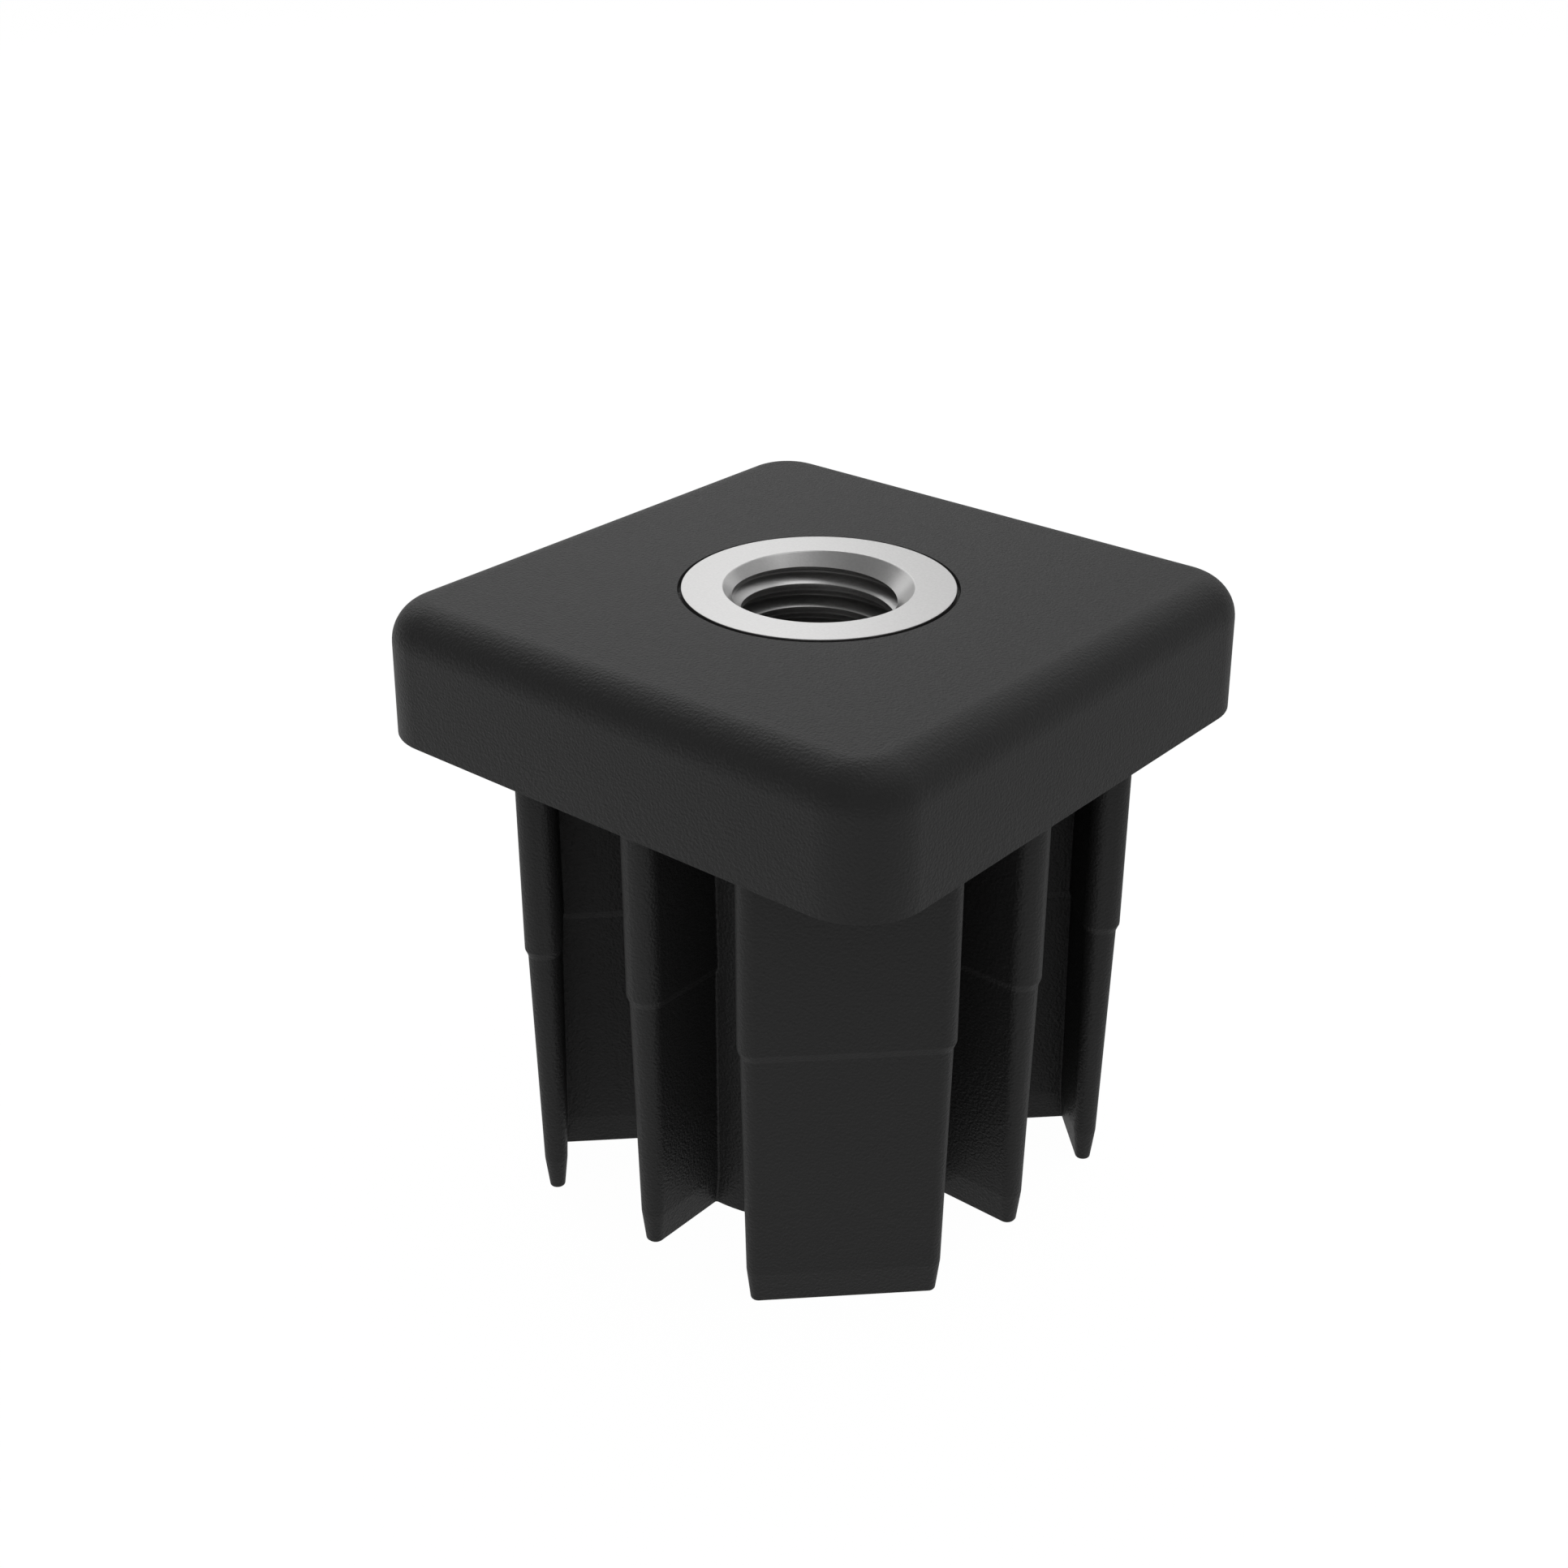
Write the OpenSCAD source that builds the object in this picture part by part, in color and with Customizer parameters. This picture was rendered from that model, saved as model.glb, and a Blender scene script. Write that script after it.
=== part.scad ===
// Threaded insert for the open end of a square tube, standing on the end of its stem.
// The head's underside seats on the tube's end, and the stem below it fills the tube.

/* [Tube] */
// Outside width of the square tube, and of the head that covers its end
tube_width = 50; // [46:1:70]
// Thickness of the tube's wall
tube_wall = 2.5; // [1.5:0.25:3.5]
// Room between the stem and the tube's wall on each side
tube_clearance = 0.3; // [0.1:0.05:0.8]

/* [Head] */
// Height of the head above the tube's end
head_height = 11; // [8:0.5:18]
// Radius of the head's upright corners, at the tube's end
head_corner_r = 5.35; // [4.6:0.05:8]
// Radius of the rounding along the head's top edges
head_edge_r = 3.4; // [1:0.1:4]

/* [Stem] */
// Length of the stem below the head
stem_length = 39.8; // [34:0.1:60]
// Length of the straight grip directly below the head
grip_length = 16.4; // [10:0.1:24]
// Inset of each face where the grip ends
grip_step = 0.17; // [0.1:0.01:0.3]
// Height of the sloping step at the end of the grip
step_height = 0.4; // [0.2:0.05:1]
// Height of the tapered lead-in at the stem's end
lead_length = 2.85; // [1.5:0.05:5]
// Inset of each face along the lead-in
lead_inset = 0.3; // [0.1:0.02:0.4]
// Rounding radius around the ends of the ribs
end_r = 0.3; // [0.1:0.05:0.35]
// Draft angle of the moulded faces
draft_angle = 1; // [0.25:0.25:1.25]

/* [Ribs] */
// Width of the plate across each corner of the stem
plate_width = 16.4; // [12:0.2:18]
// Thickness of the corner plates
plate_thickness = 3.12; // [2.8:0.02:4]
// Edge radius of the corner plates
plate_edge_r = 1.25; // [1.25:0.05:1.4]
// Thickness of the diagonal webs that carry the corner plates
web_thickness = 3.8; // [2.8:0.1:5]
// Thickness of the fin at the middle of each side
fin_thickness = 3.3; // [3.2:0.1:5]
// Edge radius of the fins
fin_edge_r = 1.6; // [1.25:0.05:1.6]

/* [Boss] */
// Diameter of the round boss at the stem's end
boss_end_d = 27.8; // [26:0.2:32]

/* [Thread] */
// Nominal diameter of the thread
thread_d = 14; // [10:1:16]
// Diameter at the crests of the thread, which is the plain bore of the bush
thread_crest_d = 12.1; // [8.4:0.05:12.9]
// Diameter of the countersinks at both ends of the thread
countersink_d = 14.9; // [13:0.1:16.5]
// Included angle of the countersinks
countersink_angle = 90; // [60:5:120]
// Room around a stud in the plain hole below the bush, in diameter
stud_clearance = 1; // [0.5:0.1:2]

/* [Bush] */
// Diameter of the bush's round collars
bush_d = 21.4; // [20.7:0.1:24]
// Length of the bush
bush_length = 25; // [16:0.5:34]
// Height of the collar that shows in the head
top_collar_h = 6; // [3:0.5:8]
// Height of the lower collar, which holds the bush down
foot_collar_h = 4; // [2:0.5:6]
// Width across the flats of the hexagon between the collars
hex_flats = 17.8; // [17:0.1:17.9]
// Width of the open ring between the bush and the head's top face
ring_gap = 0.15; // [0.05:0.01:0.4]
// Depth of that open ring
ring_gap_depth = 0.6; // [0.2:0.1:2]

/* [Hidden] */
$fn = 96;

side_count = 4;
side_turn = 360 / side_count;
overall_height = stem_length + head_height;
seat_z = stem_length;
bush_z = overall_height - bush_length;
stud_hole_d = thread_d + stud_clearance;
boss_top_d = boss_end_d + 2 * stem_length * tan(draft_angle);

// The corner plates' rounded edges and the fins' ends touch one square, this far from the axis.
stem_half = tube_width / 2 - tube_wall - tube_clearance;
plate_distance = sqrt(2) * (stem_half - plate_edge_r) - plate_width / 2 + 2 * plate_edge_r;

// Ribs run on this far into the head, so that the two join as one solid.
root_depth = 1;
// Cuts run on this far past the faces that they open.
cut_over = 1;
// Straight pieces that stand for each quarter turn of a rib's upright edge.
edge_steps = 5;
// Rings that round the end of a rib, as angles from the lead-in to the flat end.
end_angles = [0, 30, 60, 90];

step_top_z = seat_z - grip_length + step_height / 2;
step_foot_z = step_top_z - step_height;
drafted_inset = grip_step + (step_foot_z - lead_length) * tan(draft_angle);

// Each level of a rib is its height and the inset of all its faces there, from the end upwards.
end_levels = [
    for (i = [len(end_angles) - 1 : -1 : 0])
        let (z = end_r * (1 - sin(end_angles[i])))
        [z, drafted_inset + lead_inset * (1 - z / lead_length) + end_r * (1 - cos(end_angles[i]))]
];
rib_levels = concat(
    end_levels,
    [
        [lead_length, drafted_inset],
        [step_foot_z, grip_step],
        [step_top_z, 0],
        [seat_z + root_depth, 0]
    ]
);

// Points of a quarter turn of radius r around a centre, from the given angle on.
function quarter_turn(centre, r, from) = [
    for (i = [0 : edge_steps])
        let (a = from + 90 * i / edge_steps)
        centre + r * [cos(a), sin(a)]
];

// Outline of a rib from x0 to x1 with the given half thickness and both outer edges rounded.
function ended_outline(x0, x1, half, r) = concat(
    [[x0, half], [x0, -half]],
    quarter_turn([x1 - r, r - half], r, -90),
    quarter_turn([x1 - r, half - r], r, 0)
);

// Outline of a plate from x0 to x1 with all four edges rounded.
function plate_outline(x0, x1, half, r) = concat(
    quarter_turn([x1 - r, r - half], r, -90),
    quarter_turn([x1 - r, half - r], r, 0),
    quarter_turn([x0 + r, half - r], r, 90),
    quarter_turn([x0 + r, r - half], r, 180)
);

// One closed solid through outlines of equal length, each at its own height, upwards.
module lofted(heights, outlines) {
    n = len(outlines[0]);
    top = len(outlines) - 1;
    points = [
        for (i = [0 : top])
            for (p = outlines[i])
                [p[0], p[1], heights[i]]
    ];
    walls = [
        for (i = [0 : top - 1])
            for (j = [0 : n - 1])
                let (k = (j + 1) % n)
                [i * n + j, (i + 1) * n + j, (i + 1) * n + k, i * n + k]
    ];
    foot_cap = [for (j = [0 : n - 1]) j];
    top_cap = [for (j = [n - 1 : -1 : 0]) top * n + j];
    polyhedron(points, concat([foot_cap], walls, [top_cap]));
}

module fin() {
    lofted(
        [for (level = rib_levels) level[0]],
        [
            for (level = rib_levels)
                ended_outline(0, stem_half - level[1], fin_thickness / 2 - level[1], fin_edge_r - level[1])
        ]
    );
}

module corner_web() {
    middle = plate_distance - plate_thickness / 2;
    lofted(
        [for (level = rib_levels) level[0]],
        [
            for (level = rib_levels)
                let (half = web_thickness / 2 - level[1])
                [[0, half], [0, -half], [middle, -half], [middle, half]]
        ]
    );
}

module corner_plate() {
    lofted(
        [for (level = rib_levels) level[0]],
        [
            for (level = rib_levels)
                plate_outline(
                    plate_distance - plate_thickness + level[1],
                    plate_distance - level[1],
                    plate_width / 2 - level[1],
                    plate_edge_r - level[1]
                )
        ]
    );
}

// Half section of the head's edge, from the middle of its rounded corner outwards.
module head_edge_section() {
    side_run = (head_height - head_edge_r) * tan(draft_angle);
    centre_x = head_corner_r - side_run - head_edge_r / cos(draft_angle);
    centre = [centre_x, head_height - head_edge_r];
    tangent_point = centre + head_edge_r * [cos(draft_angle), sin(draft_angle)];
    polygon([
        [0, 0],
        [head_corner_r, 0],
        tangent_point,
        centre,
        [centre_x, head_height],
        [0, head_height]
    ]);
    intersection() {
        translate(centre)
            circle(r = head_edge_r);
        translate(centre)
            square(head_edge_r);
    }
}

module head() {
    corner = tube_width / 2 - head_corner_r;
    translate([-corner, -corner, seat_z])
        cube([2 * corner, 2 * corner, head_height]);
    for (side = [0 : side_count - 1])
        rotate([0, 0, side * side_turn])
            translate([corner, corner, seat_z]) {
                rotate_extrude(angle = side_turn)
                    head_edge_section();
                rotate([90, 0, 0])
                    linear_extrude(height = 2 * corner)
                        head_edge_section();
            }
}

module boss() {
    cylinder(h = stem_length, d1 = boss_end_d, d2 = boss_top_d);
}

// Outer form of the bush, which the moulding is cut to as well.
module bush_envelope() {
    hex_corners = hex_flats / cos(30);
    translate([0, 0, bush_z]) {
        cylinder(h = foot_collar_h, d = bush_d);
        cylinder(h = bush_length - top_collar_h / 2, d = hex_corners, $fn = 6);
    }
    translate([0, 0, overall_height - top_collar_h])
        cylinder(h = top_collar_h, d = bush_d);
}

// Cone that opens a bore at height z, towards +Z, or towards -Z where it is turned over.
module countersink() {
    depth = (countersink_d - thread_crest_d) / 2 / tan(countersink_angle / 2);
    over_d = countersink_d + 2 * cut_over * tan(countersink_angle / 2);
    translate([0, 0, -depth])
        cylinder(h = depth + cut_over, d1 = thread_crest_d, d2 = over_d);
}

module plug_body() {
    color("#2c2c2d")
        difference() {
            union() {
                head();
                boss();
                for (side = [0 : side_count - 1])
                    rotate([0, 0, side * side_turn]) {
                        fin();
                        rotate([0, 0, side_turn / 2]) {
                            corner_web();
                            corner_plate();
                        }
                    }
            }
            bush_envelope();
            translate([0, 0, overall_height - ring_gap_depth])
                cylinder(h = ring_gap_depth + cut_over, d = bush_d + 2 * ring_gap);
            translate([0, 0, -cut_over])
                cylinder(h = bush_z + 2 * cut_over, d = stud_hole_d);
        }
}

module threaded_bush() {
    color("silver")
        difference() {
            bush_envelope();
            translate([0, 0, bush_z - cut_over])
                cylinder(h = bush_length + 2 * cut_over, d = thread_crest_d);
            translate([0, 0, overall_height])
                countersink();
            translate([0, 0, bush_z])
                mirror([0, 0, 1])
                    countersink();
        }
}

plug_body();
threaded_bush();
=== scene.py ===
"""Threaded insert for the open end of a square tube: a black moulded plug and its metal bush.

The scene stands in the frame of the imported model: the stem's flat end is at z = 0 and the thread's
axis is the Z axis. Sizes are in millimetres here, and every mesh is made in metres.
"""
import logging
import math
from collections.abc import Callable
from dataclasses import dataclass
from enum import Enum, IntEnum

import bmesh
import bpy
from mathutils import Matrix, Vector


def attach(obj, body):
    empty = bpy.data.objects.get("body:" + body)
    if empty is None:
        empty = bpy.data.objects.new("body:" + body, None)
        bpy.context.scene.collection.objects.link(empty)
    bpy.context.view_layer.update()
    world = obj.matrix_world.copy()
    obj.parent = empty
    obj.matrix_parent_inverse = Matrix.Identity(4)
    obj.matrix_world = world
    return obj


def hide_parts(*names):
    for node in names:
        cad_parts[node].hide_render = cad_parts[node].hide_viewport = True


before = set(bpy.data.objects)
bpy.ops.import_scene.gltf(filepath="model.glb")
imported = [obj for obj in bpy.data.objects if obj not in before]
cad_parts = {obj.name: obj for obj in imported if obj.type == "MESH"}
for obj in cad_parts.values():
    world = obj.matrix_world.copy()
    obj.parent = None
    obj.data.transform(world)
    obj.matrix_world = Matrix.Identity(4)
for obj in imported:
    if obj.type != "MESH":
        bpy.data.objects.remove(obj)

LOG = logging.getLogger("tube_insert")

MM = 0.001
BODY = "root"
# Points this close are one, in metres: in a mesh, and where a tree's sectors or turns meet
MERGE_DISTANCE = 1e-6
WELD_DISTANCE = 2e-6
# Points in every ring round the axis
COLUMNS = 144
# Place of a broken edge's middle ring, as a share of the edge
EDGE_BEND = 0.3
# Length that a cutting solid runs past the face that it opens
CUT_OVER = 1.0
# Range that most of a noise lies in
NOISE_MIDDLE = (0.3, 0.7)
# Scale of the mottle, as a share of the grain's
MOTTLE_SHARE = 0.8

Point = tuple[float, float]
Point3 = tuple[float, float, float]
Colour = tuple[float, float, float, float]
Material = bpy.types.Material
Node = bpy.types.Node
Object = bpy.types.Object
Socket = bpy.types.NodeSocket
NodeInputs = dict[str | int, object]


class Hand(Enum):
    """Which way a thread climbs."""

    RIGHT = 1
    LEFT = -1


class Steps(IntEnum):
    """Straight parts that stand for each kind of arc."""

    FIN_NOSE = 8
    FILLET = 5
    BOSS = 12
    PLATE_EDGE = 7
    HEAD_CORNER = 16
    HEAD_EDGE = 14
    RING_LIP = 3
    FLANK = 4


def grey(level: float, warmth: float = 0.0) -> Colour:
    """Gives a linear grey, a little warmer where warmth is above zero.

    Args:
        level: Linear brightness from 0 to 1.
        warmth: Share that red gains and blue loses.

    Returns:
        The colour with full alpha.
    """
    return (level * (1 + warmth), level, level * (1 - warmth), 1.0)


def arc(centre: Point, radius: float, start: float, end: float, steps: int) -> list[Point]:
    """Gives points along an arc, both ends included.

    Args:
        centre: Centre of the arc.
        radius: Radius of the arc.
        start: Angle of the first point, in degrees.
        end: Angle of the last point, in degrees.
        steps: Number of equal parts.

    Returns:
        The points in order.
    """
    angles = [math.radians(start + (end - start) * i / steps) for i in range(steps + 1)]
    return [(centre[0] + radius * math.cos(a), centre[1] + radius * math.sin(a)) for a in angles]


def along(distance: float, side: float) -> Point:
    """Gives a point on the stem's diagonal, moved sideways away from it.

    Args:
        distance: Distance from the axis along the diagonal.
        side: Distance from the diagonal, towards the fin.

    Returns:
        The point in the outline's plane.
    """
    half_root = math.sqrt(0.5)
    return ((distance + side) * half_root, (distance - side) * half_root)


def level_ring(points: list[Point], z: float) -> list[Vector]:
    """Lifts flat points in millimetres to a height and turns them into metres."""
    return [Vector((x * MM, y * MM, z * MM)) for x, y in points]


def round_ring(radius: float | Callable[[float], float], z: float) -> list[Vector]:
    """Gives a ring round the axis.

    Args:
        radius: Radius in millimetres, or a rule that gives it for an angle in radians.
        z: Height of the ring in millimetres.

    Returns:
        The ring's points in metres, starting on the X axis.
    """
    angles = [2 * math.pi * i / COLUMNS for i in range(COLUMNS)]
    sizes = [radius(a) if callable(radius) else radius for a in angles]
    return level_ring([(r * math.cos(a), r * math.sin(a)) for r, a in zip(sizes, angles)], z)


def loft(name: str, rings: list[list[Vector]]) -> bpy.types.Mesh:
    """Skins a stack of rings that run anticlockwise seen from above, lowest ring first.

    Args:
        name: Name of the new mesh.
        rings: Rings with the same number of points.

    Returns:
        The new closed mesh, with its faces pointing outwards.
    """
    count = len(rings[0])
    made = bmesh.new()
    rows = [[made.verts.new(point) for point in ring] for ring in rings]
    for low, high in zip(rows, rows[1:]):
        for i in range(count):
            j = (i + 1) % count
            made.faces.new((low[i], low[j], high[j], high[i]))
    made.faces.new(list(reversed(rows[0])))
    made.faces.new(rows[-1])
    mesh = bpy.data.meshes.new(name)
    made.to_mesh(mesh)
    made.free()
    return mesh


def new_object(name: str, data: bpy.types.ID) -> Object:
    """Puts a mesh, a lamp or a camera in the scene as an object at the origin."""
    made = bpy.data.objects.new(name, data)
    bpy.context.scene.collection.objects.link(made)
    return made


def bake_modifiers(piece: Object) -> None:
    """Turns a piece's evaluated shape into its plain mesh and removes its modifiers."""
    graph = bpy.context.evaluated_depsgraph_get()
    shape = piece.evaluated_get(graph)
    mesh = bpy.data.meshes.new_from_object(shape, preserve_all_data_layers=True, depsgraph=graph)
    piece.modifiers.clear()
    piece.data = mesh
    mesh.name = piece.name


def cut_or_join(piece: Object, other: Object, operation: str) -> None:
    """Applies an exact Boolean with another closed mesh, which is then dropped.

    Args:
        piece: Object that keeps the result.
        other: Object that is added or cut away.
        operation: Blender's name of the operation.
    """
    step = piece.modifiers.new("Boolean", "BOOLEAN")
    step.operation = operation
    step.solver = "EXACT"
    step.object = other
    bake_modifiers(piece)
    bpy.data.objects.remove(other, do_unlink=True)


def shade_and_dress(piece: Object, finish: Material, sharp_angle: float) -> None:
    """Shades a piece smoothly, keeps its edges, lets flat faces stay flat and gives it its finish.

    Args:
        piece: Object to shade.
        finish: Material of the whole piece.
        sharp_angle: Edges at least this steep stay sharp, in degrees.
    """
    made = bmesh.new()
    made.from_mesh(piece.data)
    bmesh.ops.remove_doubles(made, verts=made.verts, dist=MERGE_DISTANCE)
    bmesh.ops.dissolve_degenerate(made, dist=MERGE_DISTANCE, edges=made.edges)
    made.to_mesh(piece.data)
    made.free()
    piece.data.shade_smooth()
    piece.data.set_sharp_from_angle(angle=math.radians(sharp_angle))
    weigh = piece.modifiers.new("Weighted normals", "WEIGHTED_NORMAL")
    weigh.mode = "FACE_AREA_WITH_ANGLE"
    weigh.keep_sharp = True
    weigh.weight = 100
    bake_modifiers(piece)
    piece.data.materials.clear()
    piece.data.materials.append(finish)


@dataclass
class NodeBuilder:
    """Adds nodes and links to one node tree."""

    tree: bpy.types.NodeTree

    def feed(self, socket: Socket, value: object) -> None:
        """Links another socket into a socket, or writes a plain value to it."""
        if isinstance(value, Socket):
            self.tree.links.new(value, socket)
        else:
            socket.default_value = value

    def node(self, kind: str, inputs: NodeInputs | None = None, **settings: object) -> Node:
        """Adds a node, sets its properties and feeds its inputs.

        Args:
            kind: Blender's name of the node type.
            inputs: Name or number of each input that is fed, with a socket or a plain value.
            settings: Properties of the node and their values.

        Returns:
            The new node.
        """
        made = self.tree.nodes.new(kind)
        for key, value in settings.items():
            setattr(made, key, value)
        for name, value in (inputs or {}).items():
            self.feed(made.inputs[name], value)
        return made

    def math(self, operation: str, *values: object) -> Socket:
        """Adds a Math node.

        Args:
            operation: Blender's name of the operation.
            values: Sockets or numbers for its inputs.

        Returns:
            The node's output.
        """
        return self.node("ShaderNodeMath", dict(enumerate(values)), operation=operation).outputs[0]


class GeometryTree(NodeBuilder):
    """A geometry node tree that is built step by step and has named inputs."""

    def __init__(self, name: str) -> None:
        """Makes an empty tree with a geometry input and output."""
        super().__init__(bpy.data.node_groups.new(name, "GeometryNodeTree"))
        self.tree.interface.new_socket("Geometry", in_out="INPUT", socket_type="NodeSocketGeometry")
        self.tree.interface.new_socket("Geometry", in_out="OUTPUT", socket_type="NodeSocketGeometry")
        self.identifiers: dict[str, str] = {}
        self.inputs = self.tree.nodes.new("NodeGroupInput")
        self.outputs = self.tree.nodes.new("NodeGroupOutput")

    def add_inputs(self, kind: str, *names: str) -> list[Socket]:
        """Adds named inputs of one kind to the tree.

        Args:
            kind: Last part of Blender's socket type, such as Float or Int.
            names: Names of the inputs.

        Returns:
            The inputs' sockets inside the tree.
        """
        for name in names:
            item = self.tree.interface.new_socket(name, in_out="INPUT", socket_type=f"NodeSocket{kind}")
            self.identifiers[name] = item.identifier
        return [self.inputs.outputs[name] for name in names]

    def end_with(self, geometry: Socket, distance: Socket, material: Socket) -> None:
        """Ends the tree in Merge by Distance, Realize Instances and Set Material.

        Args:
            geometry: Geometry so far.
            distance: Distance under which points are merged.
            material: Material of the whole result.
        """
        merged = self.node("GeometryNodeMergeByDistance", {"Geometry": geometry, "Distance": distance})
        real = self.node("GeometryNodeRealizeInstances", {"Geometry": merged.outputs["Geometry"]})
        dressing = {"Geometry": real.outputs["Geometry"], "Material": material}
        dressed = self.node("GeometryNodeSetMaterial", dressing)
        self.feed(self.outputs.inputs[0], dressed.outputs["Geometry"])

    def apply(self, piece: Object, values: dict[str, object]) -> None:
        """Runs the tree on a piece and keeps the result as its plain mesh.

        Args:
            piece: Object whose mesh goes through the tree.
            values: Value of each named input.
        """
        step = piece.modifiers.new(self.tree.name, "NODES")
        step.node_group = self.tree
        for name, value in values.items():
            step[self.identifiers[name]] = value
        bake_modifiers(piece)


def sector_tree() -> GeometryTree:
    """Builds the tree that repeats one sector of the stem round the axis.

    Returns:
        The tree, with inputs Count, Merge Distance and Material.
    """
    made = GeometryTree("Stem sectors")
    (count,) = made.add_inputs("Int", "Count")
    (distance,) = made.add_inputs("Float", "Merge Distance")
    (material,) = made.add_inputs("Material", "Material")
    spots = made.node("GeometryNodeMeshLine", {"Count": count, "Offset": Vector((0.0, 0.0, 0.0))})
    turn = made.math("DIVIDE", 2 * math.pi, count)
    index = made.node("GeometryNodeInputIndex").outputs["Index"]
    angles = made.node("ShaderNodeCombineXYZ", {"Z": made.math("MULTIPLY", turn, index)})
    placing = {
        "Points": spots.outputs["Mesh"],
        "Instance": made.inputs.outputs["Geometry"],
        "Rotation": angles.outputs["Vector"],
    }
    place = made.node("GeometryNodeInstanceOnPoints", placing)
    real = made.node("GeometryNodeRealizeInstances", {"Geometry": place.outputs["Instances"]})
    made.end_with(real.outputs["Geometry"], distance, material)
    return made


def thread_tree() -> GeometryTree:
    """Builds the tree that sweeps the points of one thread turn into the thread's whole wall.

    The input geometry holds the profile's points, with the radius in X and the height in Z. Rows
    of the wall follow the helix, so that the thread's edges stay clean. At both ends the wall runs
    out steeply to one flat ring.

    Returns:
        The tree, with inputs Pitch, Rise, Columns, Turns, Start Height, Low End, High End,
        End Radius, End Slope, Merge Distance and Material.
    """
    made = GeometryTree("Threaded wall")
    pitch, rise, start = made.add_inputs("Float", "Pitch", "Rise", "Start Height")
    low_end, high_end = made.add_inputs("Float", "Low End", "High End")
    end_radius, slope = made.add_inputs("Float", "End Radius", "End Slope")
    (distance,) = made.add_inputs("Float", "Merge Distance")
    columns, turns = made.add_inputs("Int", "Columns", "Turns")
    (material,) = made.add_inputs("Material", "Material")

    profile = made.inputs.outputs["Geometry"]
    position = made.node("GeometryNodeInputPosition").outputs["Position"]
    size = made.node("GeometryNodeAttributeDomainSize", {"Geometry": profile}, component="MESH")
    per_turn = size.outputs["Point Count"]
    last_row = made.math("MULTIPLY", per_turn, turns)

    # The grid's spots lie from -0.5 to 0.5: X goes once round the axis, and Y from row to row.
    across, upwards = (made.math("ADD", parts, 1.0) for parts in (columns, last_row))
    extent = {"Size X": 1.0, "Size Y": 1.0, "Vertices X": across, "Vertices Y": upwards}
    grid = made.node("GeometryNodeMeshGrid", extent)
    spot = made.node("ShaderNodeSeparateXYZ", {0: position})
    share = made.math("ADD", spot.outputs["X"], 0.5)
    row = made.math("ROUND", made.math("MULTIPLY", made.math("ADD", spot.outputs["Y"], 0.5), last_row))
    lap = made.math("FLOOR", made.math("DIVIDE", made.math("ADD", row, 0.5), per_turn))
    step = made.math("SUBTRACT", row, made.math("MULTIPLY", lap, per_turn))

    reading = {"Geometry": profile, "Value": position, "Index": step}
    sample = made.node("GeometryNodeSampleIndex", reading, data_type="FLOAT_VECTOR", domain="POINT")
    point = made.node("ShaderNodeSeparateXYZ", {0: sample.outputs["Value"]})

    climb = made.math("ADD", made.math("MULTIPLY", lap, pitch), made.math("MULTIPLY", share, rise))
    height = made.math("ADD", made.math("ADD", point.outputs["Z"], start), climb)
    height = made.math("MINIMUM", made.math("MAXIMUM", height, low_end), high_end)
    ways = (made.math("SUBTRACT", high_end, height), made.math("SUBTRACT", height, low_end))
    upper, lower = (made.math("SUBTRACT", end_radius, made.math("MULTIPLY", way, slope)) for way in ways)
    radius = made.math("MAXIMUM", point.outputs["X"], made.math("MAXIMUM", upper, lower))
    angle = made.math("MULTIPLY", share, 2 * math.pi)
    x, y = (made.math("MULTIPLY", radius, made.math(turn, angle)) for turn in ("COSINE", "SINE"))
    place = made.node("ShaderNodeCombineXYZ", {"X": x, "Y": y, "Z": height})

    moving = {"Geometry": grid.outputs["Mesh"], "Position": place.outputs["Vector"]}
    moved = made.node("GeometryNodeSetPosition", moving)
    made.end_with(moved.outputs["Geometry"], distance, material)
    return made


class ShaderTree(NodeBuilder):
    """The tree of a material, a world or a shader node group."""

    def noise(self, vector: Socket, scale: object, detail: float, dimensions: str = "3D") -> Socket:
        """Adds a noise.

        Args:
            vector: Coordinates.
            scale: Cells in a metre.
            detail: Number of finer layers.
            dimensions: Blender's name of the noise's dimensions.

        Returns:
            The noise's value.
        """
        inputs = {"Vector": vector, "Scale": scale, "Detail": detail}
        return self.node("ShaderNodeTexNoise", inputs, noise_dimensions=dimensions).outputs[0]

    def ramp(self, value: Socket, start: float, end: float, low: float = 0.0, high: float = 1.0) -> Socket:
        """Maps a value in a straight line, held level outside its two limits.

        Args:
            value: Value to map.
            start: Value that gives low.
            end: Value that gives high.
            low: Result at start.
            high: Result at end.

        Returns:
            The mapped value.
        """
        inputs = {"Value": value, "From Min": start, "From Max": end, "To Min": low, "To Max": high}
        return self.node("ShaderNodeMapRange", inputs, clamp=True).outputs[0]

    def axis_distance(self, spot: Socket) -> tuple[Socket, Socket]:
        """Gives a spot's distance from the Z axis, and its height."""
        parts = self.node("ShaderNodeSeparateXYZ", {0: spot})
        squares = (self.math("MULTIPLY", parts.outputs[name], parts.outputs[name]) for name in ("X", "Y"))
        return self.math("SQRT", self.math("ADD", *squares)), parts.outputs["Z"]


def effect_group(name: str, *outputs: str) -> tuple[ShaderTree, Node, Node]:
    """Starts a shader node group with the inputs Vector and Scale.

    Args:
        name: Name of the group.
        outputs: Names of the float outputs.

    Returns:
        The group's tree, its input node and its output node.
    """
    tree = bpy.data.node_groups.new(name, "ShaderNodeTree")
    for title, kind in (("Vector", "Vector"), ("Scale", "Float")):
        tree.interface.new_socket(title, in_out="INPUT", socket_type=f"NodeSocket{kind}")
    for title in outputs:
        tree.interface.new_socket(title, in_out="OUTPUT", socket_type="NodeSocketFloat")
    return ShaderTree(tree), tree.nodes.new("NodeGroupInput"), tree.nodes.new("NodeGroupOutput")


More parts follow.
